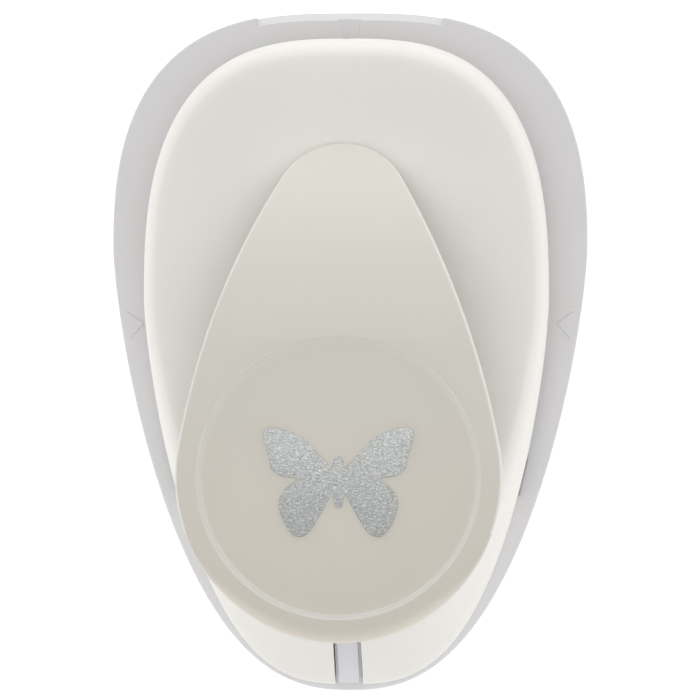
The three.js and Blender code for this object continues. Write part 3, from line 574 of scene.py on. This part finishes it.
def build_base():
    profile = [(3, 0), (1.1, 0), (0.75, 0.15), (0.6, 0.5), (0.5, 1.2), (0.05, 6.4)]
    profile.append((0, DECK_TOP - EDGE_ROUND))
    for angle in np.linspace(0, math.pi / 2, 6)[1:]:
        inset = EDGE_ROUND * (1 - math.cos(angle))
        profile.append((inset, DECK_TOP - EDGE_ROUND * (1 - math.sin(angle))))
    rings = [base_ring(2.4, DECK_UNDER), base_ring(2.9, 0.2), *[base_ring(i, z) for i, z in profile]]
    obj = skin("base_tray", rings, "flat", "flat")
    into_deck = DECK_UNDER + 0.5
    cradle = prism("cradle", plate_outline(2), 1.5, into_deck)
    cut(cradle, prism("cradle_inside", plate_outline(0.2), 0, 7))
    join(obj, cradle)
    thin = (-0.8, 0.8)
    for x, y in ((thin, (-52.6, -38)), (thin, (32.5, 52.6)), ((-36, -26), thin), ((26, 36), thin)):
        join(obj, block("rib", x, y, (1.5, into_deck)))
    for x, y in BASE_SCREWS:
        join(obj, rod("boss", x, y, (0.6, into_deck), 4))
    for x, y in DIE_SCREWS:
        join(obj, rod("boss", x, y, (1.5, into_deck), 2.8))
    cut(obj, prism("pocket", plate_outline(0.2), DIE_POCKET_FLOOR, DECK_TOP + 1))
    cut(obj, prism("opening", rounded_rectangle((-21, 21), (-12, 19.5), 5), -1, DIE_POCKET_FLOOR + 1))
    for x, y in BASE_SCREWS:
        cut(obj, rod("recess", x, y, (-1, 3.2), 2.9), rod("hole", x, y, (-1, 8), 1.6))
    for x, y in DIE_SCREWS:
        cut(obj, rod("hole", x, y, (0.9, 8), SCREW_HOLE))
    cut(obj, rear_bevel())
    cut(obj, rear_mark())
    mark_x, tilt = 33.3, 0.12
    for spread in (-0.7, 0.7):
        cut(obj, groove(mark_x, -tilt + spread), groove(-mark_x, math.pi + tilt + spread))
    cut(obj, throat_end_slot(1), throat_end_slot(-1))
    return finish_piece(obj, "punch_body", "white_plastic", WHITE_BASE, "base")


# ---- Housing ----
def housing_ring(level, inset, drop, lowest=None):
    """A ring of the housing's skin, moved in and down, or laid flat at the height `lowest`."""
    half, rear, front, high, low, fullness = level
    widest, rear_power, (p, q) = HOUSING_POWERS
    front_power = (p + fullness * NOSE_FULLNESS, q + fullness * NOSE_FULLNESS)
    outline = egg(half - inset, rear - inset, front + inset, widest, rear_power, front_power)
    if lowest is not None:
        return [(x, y, lowest) for x, y in outline]
    return [(x, y, low + (high - low) * smoothstep(y, -54, -12) - drop) for x, y in outline]


def slope_point(along, out):
    """A point on the line close to the nose: `along` it from its foot, and `out` from it."""
    dy, dz = lock_direction[1], lock_direction[2]
    return NOSE_FOOT_Y + along * dy - out * dz, NOSE_FOOT_Z + along * dz + out * dy


def slope_bar(name, along, out, x):
    corners = [(0, 0), (1, 0), (1, 1), (0, 1)]
    return upright(name, [slope_point(along[i], out[j]) for i, j in corners], *x)


def build_housing():
    levels = smooth_line(HOUSING_RINGS, 6)
    top = HOUSING_RINGS[-1]
    middle = np.array([0.3, 14, 4, top[3] + 0.1, top[4] + 1.2, 0])
    closing = [top + (middle - top) * t for t in (0.35, 0.7, 1)]
    outside = [housing_ring(level, 0, 0) for level in [*levels, *closing]]
    inside_levels = [*levels[6::3], closing[0]]
    inside = [housing_ring(HOUSING_RINGS[0], WALL, 0, housing_under)]
    inside += [housing_ring(level, WALL, WALL) for level in inside_levels]
    obj = skin("housing_shell", [*reversed(inside), *outside], "flat", "flat")
    wall = block("throat_wall", (-26.5, 26.5), (throat_end_y - 2, throat_end_y), (housing_under, 15))
    join(obj, wall)
    screws = [*BASE_SCREWS, *GUIDE_SCREWS, *COVER_SCREWS]
    for x, y in screws:
        join(obj, rod("boss", x, y, (guide_top + 0.3, 26 if y < -20 else 30), BOSS_RADIUS))
    cut(obj, block("throat", (-50, 50), (throat_end_y, 60), (0, SKIRT_UNDER)))
    cut(obj, prism("nest", plate_outline(0.4), 0, guide_top + 0.15))
    cut(obj, prism("lever_slot", rounded_rectangle((-6.3, 6.3), (-19.4, 29.3), 3), 20, 40))
    cut(obj, block("lock_slot", (-2.25, 2.25), (-56, -36.9), (housing_under - 1, 40)))
    for x, y in screws:
        cut(obj, rod("hole", x, y, (5, 25.5), SCREW_HOLE))
    for x, y in ((33.4, DIE_CENTRE_Y), (-33.4, DIE_CENTRE_Y), (0, 51.1)):
        cut(obj, rod("dimple", x, y, (5, 22), 1.5))
    return finish_piece(obj, "punch_body", "white_plastic", WHITE_SHELL, "upper_housing")


def build_throat_cover():
    outline = egg(28.4, 46, -50, *HOUSING_POWERS)
    obj = prism("throat_cover_plate", outline, SKIRT_UNDER, guide_top + 0.1)
    cut(obj, block("front", (-50, 50), (-60, throat_end_y + 0.3), (5, 20)))
    cut(obj, prism("nest", plate_outline(0.3), 5, 20))
    sink = [(0, 9), (2.9, 9), (2.9, 11.5), (1.55, 12.85), (1.55, 14), (0, 14)]
    for x, y in COVER_SCREWS:
        cut(obj, turned("sink", sink, x, y))
    return finish_piece(obj, "punch_body", "white_plastic", WHITE_SHELL, "throat_cover")


# ---- Lever ----
def crest(y):
    return LEVER_TOP - LEVER_FALL * (np.maximum(0, y) / LEVER_TIP_Y) ** LEVER_CURVE


def rim(y):
    return np.maximum(LEVER_RIM, crest(y) - LEVER_SIDE)


def rim_ring(inset, up):
    """A ring of the lever's lower edge, raised by `up`."""
    return [(x, y, rim(y) + up) for x, y in teardrop(inset)]


def lever_ring(inset, drop):
    """A ring of the lever's top: `drop` gives how far it lies below the crest, from y."""
    return [(x, y, crest(y) - drop(y)) for x, y in teardrop(inset)]


def below_crest(depth):
    return lambda y: depth


def round_over(inset, radius):
    """How far a quarter circle has still to rise, as a share of its radius."""
    return 1 - math.sqrt(max(0, 1 - (1 - min(inset / radius, 1)) ** 2))


def lever_edge(inset):
    """How far the rounded edge lies below the crest: small on the flanks, wide at the front."""
    flank = FLANK_ROUND * round_over(inset, FLANK_ROUND)
    front = FRONT_DROP * round_over(inset, FRONT_ROUND)
    return lambda y: front + (flank - front) * smoothstep(y, -42, -30)


def lock_catch():
    """The finger under the pad, laid out with the lever pressed and then turned back to rest."""
    pressed = [(-42.4, 19.3), (-42.4, 20.2), (-39.8, 22.4), (-39.8, 32.2), (-38.2, 32.2), (-38.2, 19.3)]
    c, s = math.cos(lever_swing), math.sin(lever_swing)
    rest = []
    for y, z in pressed:
        dy, dz = y - hinge[1], z - hinge[2]
        rest.append((hinge[1] + dy * c + dz * s, hinge[2] - dy * s + dz * c))
    return upright("catch", rest, -1.6, 1.6)


def build_lever():
    insets = [0, 0.03, 0.08, 0.15, 0.25, 0.38, 0.5, 0.8, 1.2, 1.7, 2.4, 3.2]
    low_round = [(0.4, 0.0), (0.12, 0.12), (0, 0.4)]
    outside = [rim_ring(inset, up) for inset, up in low_round]
    outside += [lever_ring(inset, lever_edge(inset)) for inset in insets]
    inside = [lever_ring(LEVER_SHELL + 2, below_crest(LEVER_SHELL))]
    inside.append(lever_ring(LEVER_SHELL, below_crest(LEVER_SHELL + 0.6)))
    inside.append(rim_ring(LEVER_SHELL, 0))
    obj = skin("lever_shell", [*inside, *outside], "ladder", "ladder")
    for x, y in LEVER_SCREWS:
        join(obj, rod("boss", x, y, (crest(y) - 4.8, crest(y) - LEVER_SHELL + 0.6), 3))
    rib = [(-36, 47.9), (8, crest(8) - 1.9), (8, crest(8) - 4.4), (-36, 45.6)]
    for x in (-12, 12):
        join(obj, upright("rib", rib, x - 0.7, x + 0.7))
    join(obj, lock_catch())
    rise = LEVER_TOP - PAD_FLOOR
    step = [
        (PAD_RADIUS + PAD_WALL * (t - 1), PAD_FLOOR + rise * smoothstep(t, 0, 1))
        for t in np.linspace(0, 1, 9)
    ]
    outer = PAD_RADIUS + 0.15
    above = LEVER_TOP + 2
    dish = [(0, PAD_FLOOR), *step, (outer, LEVER_TOP + 0.01), (outer, above), (0, above)]
    cut(obj, turned("dish", dish, 0, DISH_Y, 160))
    for x, y in LEVER_SCREWS:
        cut(obj, rod("hole", x, y, (rim(y) - 5, crest(y) - 1.6), SCREW_HOLE))
    finish_piece(obj, "lever", "white_plastic", LEVER_WHITE, "lever_cover")
    paint_edge_highlights(obj)


def paint_edge_highlights(obj):
    """Paints a highlight on the pad's wall and the rounded flanks: their sloping faces get a lighter material."""
    obj.data.materials.append(LEVER_EDGE_HIGHLIGHT)
    for face in obj.data.polygons:
        x, y, z = np.array(face.center) / MM
        on_wall = abs(math.hypot(x, y - DISH_Y) - PAD_RADIUS + PAD_WALL / 2) < PAD_WALL / 2
        on_flank = abs(face.normal.x) > 0.3 and y > -28 and z > crest(y) - 0.6
        if 0.02 < face.normal.z < 0.97 and (on_flank or on_wall and z > PAD_FLOOR):
            face.material_index = 1


def butterfly_outline(width, count):
    """Drawn 23 wide down its right side from the head: upper wing, lower wing and tail."""
    drawn_width = 23
    right_half = [(0, 3.85), (0.55, 3.65), (0.76, 3), (1.05, 2.2)]
    right_half += [(2.7, 3.9), (5.2, 6.4), (8, 7.85), (10.4, 8.3), (11.4, 7.6), (11.2, 5.8)]
    right_half += [(10.5, 3.7), (10.2, 2.1), (8.9, 0.95), (6.35, 0.4)]
    right_half += [(7.9, -0.9), (9.05, -2.9), (8.7, -5.1), (7.6, -7.3), (6.2, -8.4), (4.4, -7.6)]
    right_half += [(2.4, -4.4), (1.1, -2.05), (0.7, -2.9), (0.5, -3.8), (0, -4.05)]
    curve = smooth_line(np.array(right_half), 12) * width / drawn_width
    curve[:, 0] = np.maximum(curve[:, 0], 0)
    whole = np.vstack([curve, curve[1:-1][::-1] * [-1, 1]])
    return evenly(whole, count)


def build_emblem():
    width = emblem_high[0] - emblem_low[0]
    y = (emblem_low[1] + emblem_high[1]) / 2
    outline = butterfly_outline(width, 260)
    middle = (outline[:, 1].max() + outline[:, 1].min()) / 2
    obj = prism("emblem_foil", outline + [0, y - middle], PAD_FLOOR + 0.01, PAD_FLOOR + 0.21)
    soften(obj, 0.12, 3)
    apply_modifiers(obj)
    return finish_piece(obj, "lever", "silver_foil", FOIL, "butterfly_emblem")


# ---- Lock ----
def build_lock():
    obj = slope_bar("lock_strip", (-2.8, 11.5), (-1.5, -0.35), (-1.65, 1.65))
    join(obj, slope_bar("shoulders", (-2.79, 11.49), (-1.9, -1.1), (-2.1, 2.1)))
    join(obj, slope_bar("neck", (1.5, 6), (-4.1, -1.8), (-1.65, 1.65)))
    join(obj, slope_bar("flange", (1.49, 6.01), (-4.1, -3.4), (-3.4, 3.4)))
    soften(obj, 0.12, 3)
    apply_modifiers(obj)
    return finish_piece(obj, "lock", "white_plastic", LOCK_PAINTED_SHADE, "lock_slider")


# ---- Return springs ----
def build_spring(word):
    """A coil with flat end turns, as long as the CAD spring."""
    low, high = box_mm("return_spring_" + word)
    middle = sum(box_mm("guide_post_" + word)) / 2
    bottom, top = low[2] + SPRING_WIRE, high[2] - SPRING_WIRE
    rings = []
    for turn in np.linspace(0, SPRING_TURNS, 200):
        rise = (turn - SPRING_FLAT_TURNS) / (SPRING_TURNS - 2 * SPRING_FLAT_TURNS)
        centre_z = bottom + (top - bottom) * min(max(rise, 0), 1)
        c, s = math.cos(2 * math.pi * turn), math.sin(2 * math.pi * turn)
        ring = []
        for around in np.linspace(0, 2 * math.pi, 12, endpoint=False):
            reach = SPRING_RADIUS + SPRING_WIRE * math.cos(around)
            z = centre_z + SPRING_WIRE * math.sin(around)
            ring.append((middle[0] + reach * c, middle[1] + reach * s, z))
        rings.append(ring)
    obj = skin("return_coil_" + word, rings, "flat", "flat")
    finish_piece(obj, "punch_body", "spring_steel", SPRING_STEEL, "return_spring_" + word)
    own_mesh(obj)


# ---- Carried-over CAD pieces ----
CAD_LOOKS = {
    "steel": STEEL,
    "natural_nylon": NYLON,
    "die_cast": DIE_CAST,
    "spring_steel": SPRING_STEEL,
    "zinc_screw": ZINC,
}


def dress_cad_nodes():
    slots = {row["node"]: row["material_slot"] for row in frame["record"]["subparts"]}
    for name, obj in frame["nodes"].items():
        if slots[name] in CAD_LOOKS:
            obj.data.materials.clear()
            obj.data.materials.append(CAD_LOOKS[slots[name]])
            soften(obj, 0.12)


# ---- Room ----
def build_floor():
    """A wide grey floor whose own glow makes it white, so that shade on it stays faint."""
    obj = block("floor", (-1500, 1500), (-1500, 1500), (-20, -0.02))
    material, nodes, links, shader = new_material("floor_white")
    tint(nodes, links, shader, noise(nodes, links, 3, 2), (0.20, 0.20, 0.20), (0.21, 0.21, 0.21))
    shader.inputs["Roughness"].default_value = 0.9
    shader.inputs["Emission Color"].default_value = (1, 1, 1, 1)
    shader.inputs["Emission Strength"].default_value = FLOOR_GLOW
    obj.data.materials.append(material)


def build_world():
    """A light tent: bright walls all round, a darker shoulder, and a soft lamp overhead."""
    world = bpy.data.worlds.new("studio")
    world.use_nodes = True
    nodes, links = world.node_tree.nodes, world.node_tree.links
    place = nodes.new("ShaderNodeTexCoord")
    split = nodes.new("ShaderNodeSeparateXYZ")
    ramp = nodes.new("ShaderNodeValToRGB")
    stops = ramp.color_ramp.elements
    while len(stops) < len(TENT_SHARES):
        stops.new(0.5)
    for stop, (height, share) in zip(stops, TENT_SHARES):
        stop.position = height
        stop.color = (share, share, share, 1)
    links.new(place.outputs["Generated"], split.inputs["Vector"])
    links.new(split.outputs["Z"], ramp.inputs["Fac"])
    rearward = nodes.new("ShaderNodeMath")
    rearward.operation = "MULTIPLY_ADD"
    rearward.inputs[1].default_value = TENT_BRIGHTNESS * REAR_EXTRA
    rearward.inputs[2].default_value = TENT_BRIGHTNESS
    background = nodes["Background"]
    links.new(split.outputs["Y"], rearward.inputs[0])
    links.new(rearward.outputs["Value"], background.inputs["Strength"])
    links.new(ramp.outputs["Color"], background.inputs["Color"])
    bpy.context.scene.world = world


def build_camera():
    """Nearly straight down, a little to the right of the object."""
    frame_width, distance, aside = 113.34, 700, 30.5
    target = Vector((0.04, 0.16, DECK_TOP)) * MM
    place = target + Vector((aside, 0, distance)) * MM
    data = bpy.data.cameras.new("camera")
    data.sensor_width = 36
    data.lens = 36 * distance / frame_width
    data.clip_start = 0.05
    data.clip_end = 10
    obj = bpy.data.objects.new("camera", data)
    bpy.context.scene.collection.objects.link(obj)
    obj.location = place
    back = (place - target).normalized()
    right = Vector((0, 1, 0)).cross(back).normalized()
    up = back.cross(right)
    obj.rotation_euler = Matrix((right, up, back)).transposed().to_euler()
    bpy.context.scene.camera = obj


build_base()
build_housing()
build_throat_cover()
build_lever()
build_emblem()
build_lock()
build_spring("left")
build_spring("right")
dress_cad_nodes()
build_floor()
build_world()
build_camera()
bpy.context.scene.view_settings.view_transform = "Standard"
